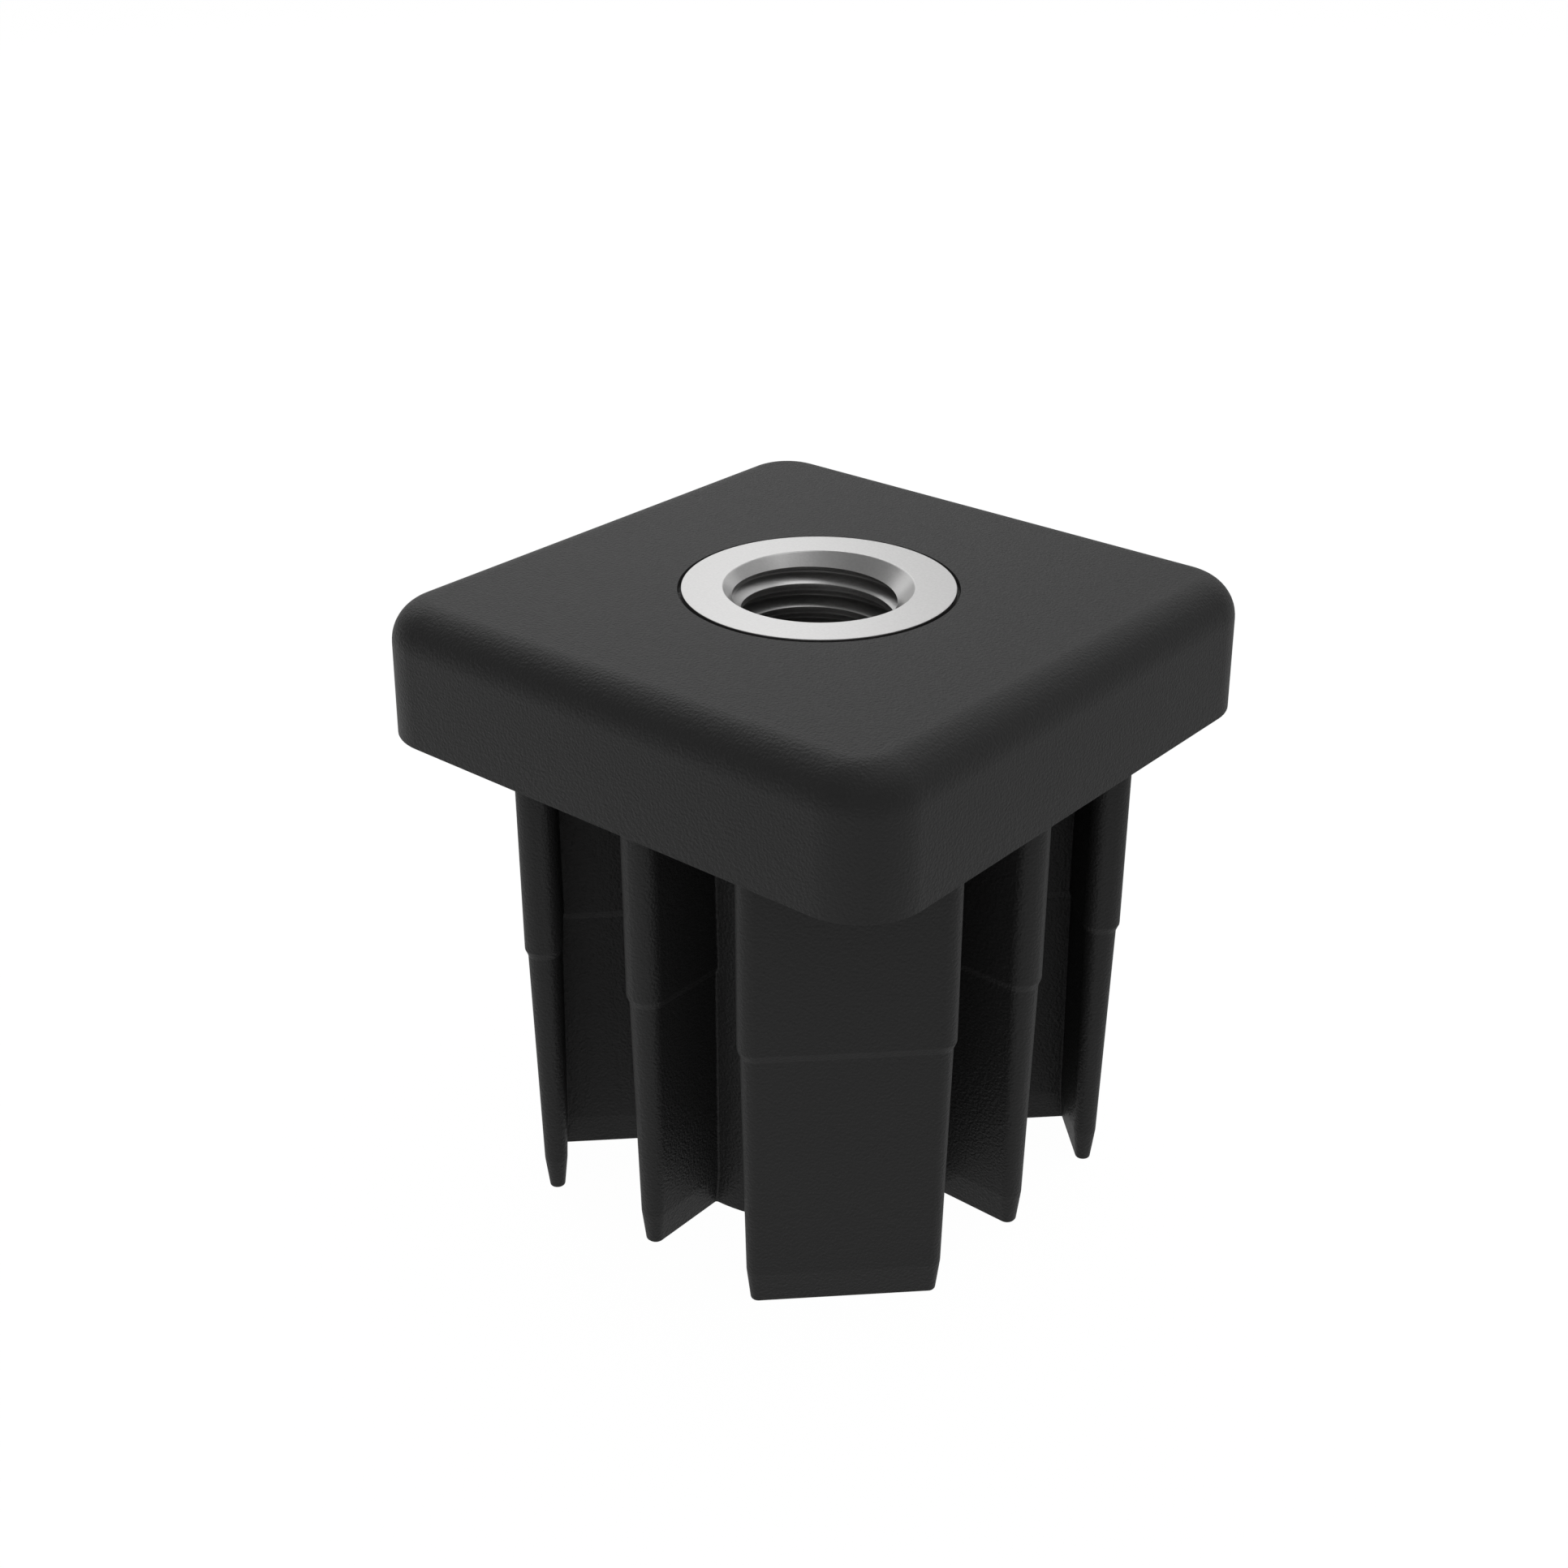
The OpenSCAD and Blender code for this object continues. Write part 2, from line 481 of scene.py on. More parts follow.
def fine_grain_group() -> bpy.types.NodeTree:
    """Builds the fine grain that both surfaces have, each with its own scale.

    Returns:
        The group, with inputs Vector and Scale and outputs Height and Mottle.
    """
    made, given, result = effect_group("Fine grain", "Height", "Mottle")
    spot, scale = given.outputs["Vector"], given.outputs["Scale"]
    made.feed(result.inputs["Height"], made.noise(spot, scale, detail=2.0))
    coarser = made.math("MULTIPLY", scale, MOTTLE_SHARE)
    made.feed(result.inputs["Mottle"], made.noise(spot, coarser, detail=1.0))
    return made.tree


def turning_group() -> bpy.types.NodeTree:
    """Builds the fine rings that a turning tool leaves round the Z axis.

    Returns:
        The group, with inputs Vector and Scale and the output Height.
    """
    made, given, result = effect_group("Turning marks", "Height")
    radius, height = made.axis_distance(given.outputs["Vector"])
    place = made.node("ShaderNodeCombineXYZ", {"X": radius, "Y": height})
    lines = made.noise(place.outputs[0], given.outputs["Scale"], detail=2.0, dimensions="2D")
    made.feed(result.inputs["Height"], lines)
    return made.tree


class SharedEffects:
    """The shader node groups of the finishes, each built once."""

    def __init__(self) -> None:
        """Builds the groups."""
        self.grain = fine_grain_group()
        self.turning = turning_group()


def new_finish(name: str) -> tuple[Material, ShaderTree, Node]:
    """Makes a material with a Principled BSDF.

    Args:
        name: Name of the material.

    Returns:
        The material, its tree and its Principled BSDF.
    """
    material = bpy.data.materials.new(name)
    material.use_nodes = True
    tree = ShaderTree(material.node_tree)
    return material, tree, material.node_tree.nodes["Principled BSDF"]


@dataclass(frozen=True)
class GrainedFinish:
    """What both finishes share: a fine grain in their colour, gloss and relief."""

    shade: float
    roughness: float
    grain_scale: float
    grain_depth: float
    shade_swing: float = 0.04
    roughness_swing: float = 0.02
    warmth: float = 0.0
    bump_strength: float = 1.0

    def colour(self, tree: ShaderTree, mottle: Socket) -> Socket:
        """Gives the colour, which swings a little with the grain's mottle."""
        dark = grey(self.shade * (1 - self.shade_swing), self.warmth)
        light = grey(self.shade * (1 + self.shade_swing), self.warmth)
        inputs = {"Factor": tree.ramp(mottle, *NOISE_MIDDLE), "A": dark, "B": light}
        return tree.node("ShaderNodeMix", inputs, data_type="RGBA").outputs["Result"]

    def roughen(self, tree: ShaderTree, surface: Node, mottle: Socket, height: Socket) -> None:
        """Feeds the roughness and the relief of a surface.

        Args:
            tree: Tree of the material.
            surface: Principled BSDF.
            mottle: Noise that the roughness follows.
            height: Height of the relief, as a share of the grain's depth.
        """
        low, high = self.roughness - self.roughness_swing, self.roughness + self.roughness_swing
        tree.feed(surface.inputs["Roughness"], tree.ramp(mottle, *NOISE_MIDDLE, low, high))
        relief = {"Strength": self.bump_strength, "Distance": self.grain_depth * MM, "Height": height}
        tree.feed(surface.inputs["Normal"], tree.node("ShaderNodeBump", relief).outputs["Normal"])


@dataclass(frozen=True)
class MouldedPlastic(GrainedFinish):
    """Black moulded plastic with a fine spark-eroded grain."""

    shade: float = 0.046
    roughness: float = 0.46
    grain_scale: float = 4500.0
    grain_depth: float = 0.09
    specular: float = 0.33

    def material(self, effects: SharedEffects) -> Material:
        """Builds the material.

        Args:
            effects: Node groups shared by the finishes.

        Returns:
            The new material.
        """
        material, tree, surface = new_finish("black_plastic_finish")
        spot = tree.node("ShaderNodeTexCoord").outputs["Object"]
        grain_inputs = {"Vector": spot, "Scale": self.grain_scale}
        grain = tree.node("ShaderNodeGroup", grain_inputs, node_tree=effects.grain)
        tree.feed(surface.inputs["Base Color"], self.colour(tree, grain.outputs["Mottle"]))
        surface.inputs["Specular IOR Level"].default_value = self.specular
        self.roughen(tree, surface, grain.outputs["Mottle"], grain.outputs["Height"])
        return material


@dataclass(frozen=True)
class TurnedSteel(GrainedFinish):
    """Bright metal with a satin grain and faint turning marks, and with a painted shade inside the thread.

    The painted shade darkens the thread's colour from its crests to its roots, and with its depth below the
    countersink. It also paints the countersink a little darker than the flat ring.
    """

    shade: float = 0.76
    roughness: float = 0.31
    grain_scale: float = 6000.0
    grain_depth: float = 0.005
    warmth: float = 0.006
    # Painted shade: share of the colour left deep in the thread and on the countersink, and the heights and
    # radii over which it fades
    painted_hollow_share: float = 0.6
    cone_foot: float = 49.35
    painted_cone_share: float = 0.75
    painted_face_range: Point = (50.72, 50.79)
    painted_depth_range: Point = (42.0, 48.6)
    painted_radius_range: Point = (6.15, 6.95)
    turning_scale: float = 3000.0
    turning_share: float = 0.25

    def material(self, effects: SharedEffects) -> Material:
        """Builds the material.

        Args:
            effects: Node groups shared by the finishes.

        Returns:
            The new material.
        """
        material, tree, surface = new_finish("bush_steel_finish")
        spot = tree.node("ShaderNodeTexCoord").outputs["Object"]
        groups = ((effects.grain, self.grain_scale), (effects.turning, self.turning_scale))
        grain, marks = (
            tree.node("ShaderNodeGroup", {"Vector": spot, "Scale": scale}, node_tree=group)
            for group, scale in groups
        )
        # Painted shade: the colour is mixed towards a darker grey deep in the thread, at its roots and on
        # the countersink
        shades = {
            "Factor": self.painted_brightness(tree, spot),
            "A": grey(self.shade * self.painted_hollow_share, self.warmth),
            "B": self.colour(tree, grain.outputs["Mottle"]),
        }
        shaded = tree.node("ShaderNodeMix", shades, data_type="RGBA")
        tree.feed(surface.inputs["Base Color"], shaded.outputs["Result"])
        surface.inputs["Metallic"].default_value = 1.0
        rings = tree.math("MULTIPLY", marks.outputs["Height"], self.turning_share)
        relief = tree.math("ADD", grain.outputs["Height"], rings)
        self.roughen(tree, surface, grain.outputs["Mottle"], relief)
        return material

    def painted_brightness(self, tree: ShaderTree, spot: Socket) -> Socket:
        """Measures the painted shade of a spot of the bush, from 0 deep in the thread, painted darkest, to 1
        on the flat ring.

        Args:
            tree: Tree of the material.
            spot: Object coordinates.

        Returns:
            The measure.
        """
        radius, height = tree.axis_distance(spot)
        deep, mouth = self.painted_depth_range
        crest, root = self.painted_radius_range
        by_depth = tree.ramp(height, deep * MM, mouth * MM)
        by_radius = tree.ramp(radius, root * MM, crest * MM)
        above = tree.math("GREATER_THAN", height, self.cone_foot * MM)
        low, high = self.painted_face_range
        on_face = tree.ramp(height, low * MM, high * MM)
        mouth_level = tree.math("MULTIPLY", above, tree.math("MAXIMUM", on_face, self.painted_cone_share))
        in_thread = tree.math("MULTIPLY", by_radius, tree.math("SUBTRACT", 1.0, above))
        return tree.math("MINIMUM", by_depth, tree.math("ADD", mouth_level, in_thread))


@dataclass(frozen=True)
class FloorFinish:
    """Pale matt floor that the camera sees as white paper with a faint shadow.

    Glossy surfaces mirror it as a glow of lit paper: a painted light makes it a little brighter on the left,
    and a painted shade keeps it dark only under the hole.
    """

    shade: float = 0.8
    roughness: float = 0.9
    camera_share: float = 0.93
    camera_level: float = 1.06
    gloss_level: float = 0.53
    painted_gloss_tilt: float = 0.19
    tilt_reach: float = 105.0
    painted_dark_spot: float = 12.0

    def material(self, azimuth: float) -> Material:
        """Builds the material.

        Args:
            azimuth: Turn of the camera round Z, in degrees, from which left and right follow.

        Returns:
            The new material.
        """
        material, tree, surface = new_finish("floor_paper")
        turn = math.radians(azimuth)
        surface.inputs["Base Color"].default_value = grey(self.shade)
        surface.inputs["Roughness"].default_value = self.roughness
        surface.inputs["Specular IOR Level"].default_value = 0.0
        path = tree.node("ShaderNodeLightPath")
        spot = tree.node("ShaderNodeTexCoord").outputs["Object"]
        away = tree.node("ShaderNodeVectorMath", {0: spot}, operation="LENGTH")
        # Painted shade: glossy rays see no glow on the floor under the hole
        open_floor = tree.math("GREATER_THAN", away.outputs["Value"], self.painted_dark_spot * MM)
        rightwards = (math.cos(turn), math.sin(turn), 0.0)
        across = tree.node("ShaderNodeVectorMath", {0: spot, 1: rightwards}, operation="DOT_PRODUCT")
        reach = self.tilt_reach * MM
        # Painted light: the glow that glossy rays see is brighter on the left than on the right
        left, right = self.gloss_level * (1 + self.painted_gloss_tilt), self.gloss_level * (1 - self.painted_gloss_tilt)
        tilt = tree.ramp(across.outputs["Value"], -reach, reach, left, right)
        direct = tree.math("MAXIMUM", path.outputs["Is Camera Ray"], path.outputs["Is Transmission Ray"])
        mirrored = path.outputs["Is Glossy Ray"]
        mirrored_level = tree.math("MULTIPLY", tree.math("MULTIPLY", mirrored, open_floor), tilt)
        direct_level = tree.math("MULTIPLY", direct, self.camera_level)
        strength = tree.math("ADD", direct_level, mirrored_level)
        glow = tree.node("ShaderNodeEmission", {"Color": grey(1.0), "Strength": strength})
        share = tree.math("MAXIMUM", tree.math("MULTIPLY", direct, self.camera_share), mirrored)
        mixed = tree.node("ShaderNodeMixShader", {0: share, 1: surface.outputs[0], 2: glow.outputs[0]})
        tree.feed(material.node_tree.nodes["Material Output"].inputs["Surface"], mixed.outputs[0])
        return material


@dataclass(frozen=True)
class BushForm:
    """Outer form of the bush, which the moulding closes round."""

    diameter: float = 21.4
    length: float = 25.0
    top_z: float = 50.8
    top_collar: float = 6.0
    foot_collar: float = 4.0
    hex_flats: float = 17.8
    edge_break: float = 0.08

    @property
    def foot_z(self) -> float:
        """Height of the bush's lower end."""
        return self.top_z - self.length

    @property
    def collar(self) -> float:
        """Radius of the round collars."""
        return self.diameter / 2

    def hexagon(self, angle: float) -> float:
        """Radius of the hexagon at an angle in radians, with a corner on the X axis."""
        sixth = math.pi / 3
        return self.hex_flats / 2 / math.cos((angle % sixth) - sixth / 2)

    def waist_rings(self) -> list[list[Vector]]:
        """Gives the rings from the lower collar's top, along the hexagon, to the top collar's foot."""
        low, high = self.foot_z + self.foot_collar, self.top_z - self.top_collar
        bends = ((self.collar, low), (self.hexagon, low), (self.hexagon, high), (self.collar, high))
        return [round_ring(radius, z) for radius, z in bends]

    def side_rings(self) -> list[list[Vector]]:
        """Gives the rings of the bush's side, from its foot upwards.

        Returns:
            The rings from the lower collar's foot to the top edge.
        """
        edge = self.edge_break
        bend = EDGE_BEND * edge
        return [
            round_ring(self.collar - edge, self.foot_z),
            round_ring(self.collar, self.foot_z + edge),
            *self.waist_rings(),
            round_ring(self.collar, self.top_z - edge),
            round_ring(self.collar - bend, self.top_z - bend),
            round_ring(self.collar - edge, self.top_z),
        ]


@dataclass
class PlugBody:
    """The black moulding: a square head, and a stem of a round boss, fins and corner ribs."""

    form: BushForm
    finish: Material
    tube_width: float = 50.0
    tube_wall: float = 2.5
    tube_clearance: float = 0.3
    head_height: float = 10.91
    head_corner: float = 5.35
    head_edge: float = 3.31
    stem_length: float = 39.8
    grip_length: float = 16.3
    grip_step: float = 0.23
    step_height: float = 0.66
    lead_length: float = 2.85
    lead_inset: float = 0.32
    end_round: float = 0.15
    draft: float = 1.0
    plate_width: float = 16.4
    plate_reach: float = 0.07
    plate_thickness: float = 3.04
    plate_edge: float = 1.25
    plate_edge_share: float = 0.48
    web_thickness: float = 3.8
    fin_thickness: float = 3.3
    fin_edge: float = 1.6
    fin_set_back: float = 0.09
    boss_end: float = 27.8
    boss_fillet: float = 0.2
    plate_fillet: float = 0.12
    step_blend: float = 0.05
    underside_break: float = 0.06
    stud_hole: float = 15.0
    hole_chamfer: float = 0.3
    ring_gap: float = 0.27
    ring_lip: float = 0.03
    ring_gap_depth: float = 0.6
    root_depth: float = 1.0
    sectors: int = 4
    sharp_angle: float = 40.0

    @property
    def slope(self) -> float:
        """Inset of a drafted face for each millimetre of height."""
        return math.tan(math.radians(self.draft))

    @property
    def stem_half(self) -> float:
        """Half the width that the ribs fill inside the tube."""
        return self.tube_width / 2 - self.tube_wall - self.tube_clearance

    @property
    def plate_distance(self) -> float:
        """Distance from the axis to the outer face of a corner plate."""
        reach = math.sqrt(2) * (self.stem_half - self.plate_edge)
        return reach - self.plate_width / 2 + 2 * self.plate_edge + self.plate_reach

    def rib_levels(self) -> list[tuple[float, float, float]]:
        """Gives the stem's levels from its flat end upwards.

        Returns:
            Height, inset of the ribs' faces and inset of the boss at each level.
        """
        step_top = self.stem_length - self.grip_length
        step_foot = step_top - self.step_height
        foot_inset = self.grip_step + (step_foot - self.lead_length) * self.slope
        levels: list[tuple[float, float, float]] = []
        for degrees in (90, 75, 60, 45, 30, 15, 0):
            angle = math.radians(degrees)
            z = self.end_round * (1 - math.sin(angle))
            rounding = self.end_round * (1 - math.cos(angle))
            lead = self.lead_inset * (1 - z / self.lead_length)
            levels.append((z, foot_inset + lead + rounding, rounding))
        blend = self.step_blend
        lead_slope = self.lead_inset / self.lead_length
        step_slope = self.grip_step / self.step_height
        bends = (
            (self.lead_length, foot_inset, lead_slope, self.slope),
            (step_foot, self.grip_step, self.slope, step_slope),
            (step_top, 0.0, step_slope, 0.0),
        )
        for z, inset, below, above in bends:
            # The middle point lies on the parabola between the other two.
            levels.append((z - blend, inset + blend * below, 0.0))
            levels.append((z, inset + blend * (below - above) / 4, 0.0))
            levels.append((z + blend, inset - blend * above, 0.0))
        levels.append((self.stem_length + self.root_depth, 0.0, 0.0))
        return levels

    def half_outline(self, z: float, inset: float, boss_inset: float) -> list[Point]:
        """Traces the stem from the middle of a fin to the middle of a corner plate.

        Args:
            z: Height of the section.
            inset: Inset of the ribs' faces.
            boss_inset: Inset of the boss.

        Returns:
            The outline's points, anticlockwise.
        """
        boss = self.boss_end / 2 + z * self.slope - boss_inset
        fillet = self.boss_fillet

        # The fin's nose
        fin = self.fin_thickness / 2 - inset
        nose = self.fin_edge - inset
        tip = self.stem_half - self.fin_set_back - inset
        points = [(tip, 0.0)] + arc((tip - nose, fin - nose), nose, 0, 90, Steps.FIN_NOSE)

        # Fillet at the fin's root, boss, and fillet at the web's root
        rise = fin + fillet
        run = math.sqrt((boss + fillet) ** 2 - rise**2)
        first = math.degrees(math.atan2(rise, run))
        points += arc((run, rise), fillet, 270, 180 + first, Steps.FILLET)
        web = self.web_thickness / 2 - inset
        last = 45 - math.degrees(math.asin((web + fillet) / (boss + fillet)))
        points += arc((0.0, 0.0), boss, first, last, Steps.BOSS)[1:-1]
        angle = math.radians(last)
        centre = ((boss + fillet) * math.cos(angle), (boss + fillet) * math.sin(angle))
        points += arc(centre, fillet, 180 + last, 135, Steps.FILLET)

        # Fillet behind the corner plate, and the plate's two edges
        inner = self.plate_distance - self.plate_thickness + inset
        outer = self.plate_distance - inset
        half = self.plate_width / 2 - inset
        edge = min(self.plate_edge - inset / 2, self.plate_edge_share * (outer - inner))
        root = self.plate_fillet
        points += arc(along(inner - root, web + root), root, 135, 45, Steps.FILLET)
        points += arc(along(inner + edge, half - edge), edge, 225, 315, Steps.PLATE_EDGE)
        points += arc(along(outer - edge, half - edge), edge, 315, 405, Steps.PLATE_EDGE)
        points.append(along(outer, 0.0))
        return points

    def stem(self) -> Object:
        """Builds one sector of the stem and repeats it round the axis.

        Returns:
            The closed stem, which runs on a little way into the head.
        """
        rings = []
        for z, inset, boss_inset in self.rib_levels():
            half = self.half_outline(z, inset, boss_inset)
            mirrored = [(x, -y) for x, y in reversed(half[1:])]
            rings.append(level_ring([(0.0, 0.0), *mirrored, *half], z))
        sector = bmesh.new()
        sector.from_mesh(loft("sector", rings))
        on_axis = [v for v in sector.verts if v.co.x == 0.0 and v.co.y == 0.0]
        walls = [f for f in sector.faces if len(f.verts) == 4 and any(v in on_axis for v in f.verts)]
        bmesh.ops.delete(sector, geom=walls, context="FACES_ONLY")
        mesh = bpy.data.meshes.new("stem")
        sector.to_mesh(mesh)
        sector.free()
        made = new_object("stem", mesh)
        values = {"Count": self.sectors, "Merge Distance": WELD_DISTANCE, "Material": self.finish}
        sector_tree().apply(made, values)
        return made

    def square_ring(self, z: float, inset: float) -> list[Vector]:
        """Gives the head's rounded square at a height, with all its sides moved in by inset."""
        radius = self.head_corner - inset
        centre = self.tube_width / 2 - self.head_corner
        points: list[Point] = []
        for x, y, start in ((1, -1, -90), (1, 1, 0), (-1, 1, 90), (-1, -1, 180)):
            points += arc((x * centre, y * centre), radius, start, start + 90, Steps.HEAD_CORNER)
        return level_ring(points, z)

    def head(self) -> Object:
        """Builds the head, with drafted sides and a rounding along its top edges.

        Returns:
            The closed head, which grows into the whole piece.
        """
        round_start = self.head_height - self.head_edge
        side_run = round_start * self.slope
        lean = math.radians(self.draft)
        middle = side_run + self.head_edge / math.cos(lean)
        foot, bend = self.underside_break, EDGE_BEND * self.underside_break
        rings = [
            self.square_ring(self.stem_length, foot),
            self.square_ring(self.stem_length + bend, bend),
            self.square_ring(self.stem_length + foot, foot * self.slope),
        ]
        for i in range(Steps.HEAD_EDGE + 1):
            angle = lean + (math.pi / 2 - lean) * i / Steps.HEAD_EDGE
            inset = middle - self.head_edge * math.cos(angle)
            z = self.stem_length + round_start + self.head_edge * math.sin(angle)
            rings.append(self.square_ring(z, inset))
        return new_object("plug_body_moulding", loft("head", rings))

    def hollow(self) -> Object:
        """Builds the solid that is cut away: the stud hole, the bush's pocket and the open ring.

        Returns:
            The closed cutting solid.
        """
        form = self.form
        hole = self.stud_hole / 2
        gap = form.collar + self.ring_gap
        gap_foot = form.top_z - self.ring_gap_depth
        lip = self.ring_lip
        rings = [
            round_ring(hole + self.hole_chamfer + CUT_OVER, -CUT_OVER),
            round_ring(hole, self.hole_chamfer),
            round_ring(hole, form.foot_z),
            round_ring(form.collar, form.foot_z),
            *form.waist_rings(),
            round_ring(form.collar, gap_foot),
            round_ring(gap, gap_foot),
        ]
        face = self.stem_length + self.head_height
        lip_points = arc((gap + lip, face - lip), lip, 180, 90, Steps.RING_LIP)
        rings += [round_ring(radius, z) for radius, z in lip_points]
        rings.append(round_ring(gap + lip, form.top_z + CUT_OVER))
        return new_object("hollow", loft("hollow", rings))

    def build(self) -> Object:
        """Joins head and stem, cuts the hollow and dresses the piece.

        Returns:
            The finished piece.
        """
        piece = self.head()
        cut_or_join(piece, self.stem(), "UNION")
        cut_or_join(piece, self.hollow(), "DIFFERENCE")
        shade_and_dress(piece, self.finish, self.sharp_angle)
        return piece


@dataclass
class ThreadedBush:
    """The metal bush with its internal thread and its countersinks.

    A countersink's solid reaches inside the crests by overlap. Its broken edge stands out by
    bend_share of the edge break at its bend and by rim_share at the face.
    """

    form: BushForm
    finish: Material
    pitch: float = 2.0
    crest_d: float = 12.1
    root_d: float = 14.26
    crest_flat: float = 0.47
    flank_angle: float = 30.0
    crest_round: float = 0.03
    root_round: float = 0.06
    countersink_d: float = 14.9
    countersink_angle: float = 90.0
    overlap: float = 0.5
    bend_share: float = 0.1
    rim_share: float = 0.8
    crest_z: float = 48.02
    crest_bearing: float = 130.0
    hand: Hand = Hand.RIGHT
    spare_turns: int = 2
    run_out: float = 0.7
    end_flare: float = 0.2
    end_steepness: float = 4.0
    sharp_angle: float = 25.0

    def profile(self) -> list[Point]:
        """Traces one turn of the thread, from the foot of a crest upwards.

        Returns:
            Radius and height of each point, the next turn's first point left out.
        """
        crest, root = self.crest_d / 2, self.root_d / 2
        flank = (root - crest) * math.tan(math.radians(self.flank_angle))
        corners = [
            (crest, 0.0, self.crest_round),
            (crest, self.crest_flat, self.crest_round),
            (root, self.crest_flat + flank, self.root_round),
            (root, self.pitch - flank, self.root_round),
        ]
        points: list[Point] = []
        # A parabola cuts each corner, and each flank has points between its ends.
        for i, (r, z, cut) in enumerate(corners):
            before, after = corners[i - 1], corners[(i + 1) % 4]
            low = Vector((before[0], before[1] - (self.pitch if i == 0 else 0.0)))
            high = Vector((after[0], after[1] + (self.pitch if i == 3 else 0.0)))
            here = Vector((r, z))
            a = here + (low - here).normalized() * cut
            b = here + (high - here).normalized() * cut
            mid = (a + b) / 4 + here / 2
            points += [tuple(a), tuple(mid), tuple(b)]
            if after[0] != r:
                far = high + (here - high).normalized() * after[2]
                points += [tuple(b.lerp(far, k / Steps.FLANK)) for k in range(1, Steps.FLANK)]
        return points

    def cutter(self) -> Object:
        """Sweeps the profile into the solid that the thread leaves open, like the tap that cuts it.

        Returns:
            The closed solid, which runs past both ends of the bush.
        """
        mesh = bpy.data.meshes.new("thread profile")
        mesh.from_pydata([(r * MM, 0.0, z * MM) for r, z in self.profile()], [], [])
        made = new_object("thread_cutter", mesh)
        low, high = self.form.foot_z - self.run_out, self.form.top_z + self.run_out
        rise = self.pitch * self.hand.value
        at_zero = self.crest_z - rise * self.crest_bearing / 360
        start = at_zero - math.ceil((at_zero - low) / self.pitch + self.spare_turns) * self.pitch
        turns = math.ceil((high - start) / self.pitch) + self.spare_turns
        values = {
            "Pitch": self.pitch * MM,
            "Rise": rise * MM,
            "Columns": COLUMNS,
            "Turns": turns,
            "Start Height": start * MM,
            "Low End": low * MM,
            "High End": high * MM,
            "End Radius": (self.root_d / 2 + self.end_flare) * MM,
            "End Slope": self.end_steepness * (self.root_d - self.crest_d) / self.run_out,
            "Merge Distance": WELD_DISTANCE,
            "Material": self.finish,
        }
        thread_tree().apply(made, values)
        capped = bmesh.new()
        capped.from_mesh(made.data)
        bmesh.ops.remove_doubles(capped, verts=capped.verts, dist=WELD_DISTANCE)
        bmesh.ops.dissolve_degenerate(capped, dist=MERGE_DISTANCE, edges=capped.edges)
        bmesh.ops.holes_fill(capped, edges=[edge for edge in capped.edges if edge.is_boundary])
        bmesh.ops.recalc_face_normals(capped, faces=capped.faces)
        capped.to_mesh(made.data)
        capped.free()
        return made

    def countersink(self, end: float, outward: float) -> Object:
        """Builds the solid that opens one end of the thread, with a broken edge at its rim.

        Args:
            end: Height of the bush's end face.
            outward: Direction that this end faces, 1 for upwards and -1 for downwards.

        Returns:
            The closed cutting solid.
        """
        slope = math.tan(math.radians(self.countersink_angle / 2))
        edge = self.form.edge_break
        rim = self.countersink_d / 2
        inner = self.crest_d / 2 - self.overlap
        outer = rim + self.rim_share * edge
        levels = [
            (inner, -(rim - inner) / slope),
            (rim - edge * slope, -edge),
            (rim + self.bend_share * edge, -EDGE_BEND * edge),
            (outer, 0.0),
            (outer, self.run_out),
        ]
        rings = [round_ring(radius, end + outward * depth) for radius, depth in levels]
        if outward < 0:
            rings.reverse()
        return new_object("countersink", loft("countersink", rings))

    def build(self) -> Object:
        """Cuts the thread and both countersinks into the blank and dresses the piece.

        Returns:
            The finished piece.
        """
        piece = new_object("threaded_bush_metal", loft("blank", self.form.side_rings()))
        cut_or_join(piece, self.cutter(), "DIFFERENCE")
        cut_or_join(piece, self.countersink(self.form.top_z, 1.0), "DIFFERENCE")
        cut_or_join(piece, self.countersink(self.form.foot_z, -1.0), "DIFFERENCE")
        shade_and_dress(piece, self.finish, self.sharp_angle)
        return piece


@dataclass(frozen=True)
class Softbox:
    """A square soft lamp that faces the part.

    The turn is measured anticlockwise from where the camera stands, seen from above.
    """

    name: str
    turn: float
    elevation: float
    level: float
    distance: float = 0.6
    width: float = 0.5

    def build(self, target: Vector, bearing: float) -> Object:
        """Makes the lamp.

        Args:
            target: Point that it faces.
            bearing: Direction of the camera from the part, in degrees from the X axis.

        Returns:
            The lamp's object.
        """
        lamp = bpy.data.lights.new(self.name, "AREA")
        lamp.shape = "SQUARE"
        lamp.size = self.width
        lamp.energy = self.level * math.pi * self.width**2
        made = new_object(self.name, lamp)
        around, up = math.radians(bearing + self.turn), math.radians(self.elevation)
        way = Vector((math.cos(around) * math.cos(up), math.sin(around) * math.cos(up), math.sin(up)))
        made.location = target + way * self.distance
        made.rotation_euler = way.to_track_quat("Z", "Y").to_euler()
        made.visible_camera = False
        return made


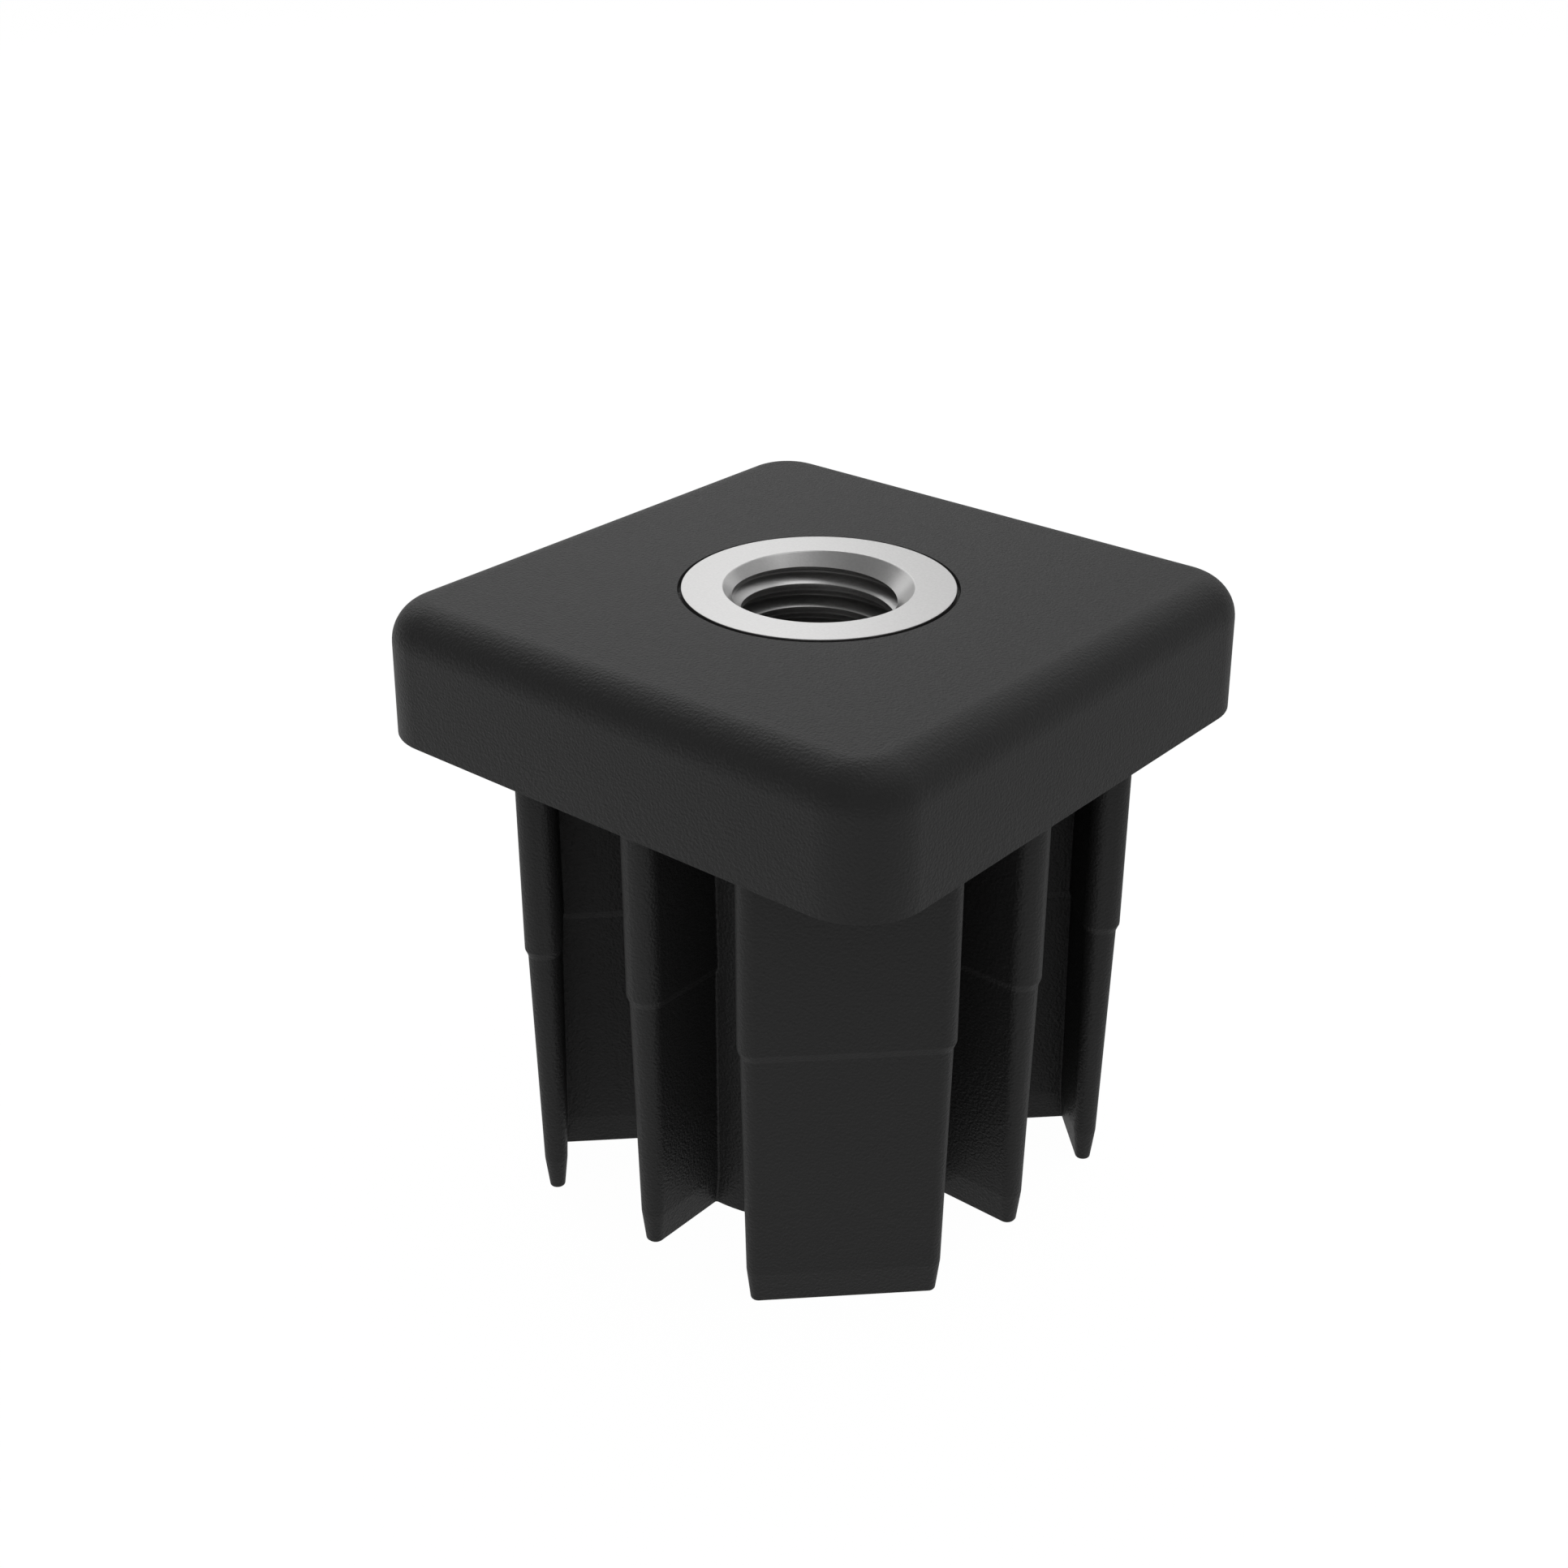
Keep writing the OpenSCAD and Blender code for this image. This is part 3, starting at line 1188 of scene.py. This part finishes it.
@dataclass
class Studio:
    """The floor, the soft light and the camera."""

    camera_place: Point3 = (99.02, -122.204, 113.733)
    azimuth: float = 40.003
    elevation: float = 27.031
    lens: float = 50.0
    sensor: float = 36.0
    clip: Point = (0.01, 10.0)
    aim_height: float = 30.0
    floor_width: float = 4000.0
    world_level: float = 0.2
    floor: FloorFinish = FloorFinish()
    lamps: tuple[Softbox, ...] = (
        Softbox("lamp_far_left", 203, 33, 0.69),
        Softbox("lamp_far_right", 157, 33, 0.44),
        Softbox("lamp_right", 95, 35, 0.18),
        Softbox("lamp_near", 0, 50, 0.1),
        Softbox("lamp_above", 100, 73, 0.8, width=0.3),
    )

    def build_floor(self) -> Object:
        """Lays the floor under the part.

        Returns:
            The floor's object.
        """
        half = self.floor_width / 2 * MM
        mesh = bpy.data.meshes.new("floor")
        corners = [(-half, -half, 0.0), (half, -half, 0.0), (half, half, 0.0), (-half, half, 0.0)]
        mesh.from_pydata(corners, [], [(0, 1, 2, 3)])
        made = new_object("floor", mesh)
        mesh.materials.append(self.floor.material(self.azimuth))
        return made

    def build_world(self) -> None:
        """Gives the world an even pale light, white where the camera sees it."""
        world = bpy.data.worlds.new("studio")
        world.use_nodes = True
        bpy.context.scene.world = world
        tree = ShaderTree(world.node_tree)
        path = tree.node("ShaderNodeLightPath")
        even = world.node_tree.nodes["Background"]
        even.inputs["Color"].default_value = grey(1.0)
        even.inputs["Strength"].default_value = self.world_level
        white = tree.node("ShaderNodeBackground", {"Color": grey(1.0), "Strength": 1.0})
        choice = {0: path.outputs["Is Camera Ray"], 1: even.outputs[0], 2: white.outputs[0]}
        mixed = tree.node("ShaderNodeMixShader", choice)
        tree.feed(world.node_tree.nodes["World Output"].inputs["Surface"], mixed.outputs[0])

    def build_camera(self) -> Object:
        """Places the camera where the photograph was taken from.

        Returns:
            The camera's object.
        """
        data = bpy.data.cameras.new("camera")
        data.lens = self.lens
        data.sensor_width = self.sensor
        data.clip_start, data.clip_end = self.clip
        made = new_object("camera", data)
        made.location = Vector(self.camera_place) * MM
        made.rotation_euler = (math.radians(90 - self.elevation), 0.0, math.radians(self.azimuth))
        bpy.context.scene.camera = made
        return made

    def build(self) -> None:
        """Builds the whole studio round the part."""
        self.build_floor()
        self.build_world()
        target = Vector((0.0, 0.0, self.aim_height)) * MM
        for lamp in self.lamps:
            lamp.build(target, self.azimuth - 90)
        self.build_camera()
        bpy.context.scene.view_settings.view_transform = "Standard"


def main() -> None:
    """Builds the studio and both pieces."""
    logging.basicConfig(level=logging.INFO, format="%(name)s: %(message)s")
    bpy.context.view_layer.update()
    Studio().build()
    effects = SharedEffects()
    form = BushForm()
    pieces = (
        (PlugBody(form, MouldedPlastic().material(effects)), "plug_body", "black_plastic"),
        (ThreadedBush(form, TurnedSteel().material(effects)), "threaded_bush", "bush_steel"),
    )
    for maker, node, slot in pieces:
        piece = maker.build()
        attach(piece, BODY)
        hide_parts(node)
        LOG.info("%s: %d vertices, %d faces", piece.name, len(piece.data.vertices), len(piece.data.polygons))


if __name__ == "__main__":
    main()
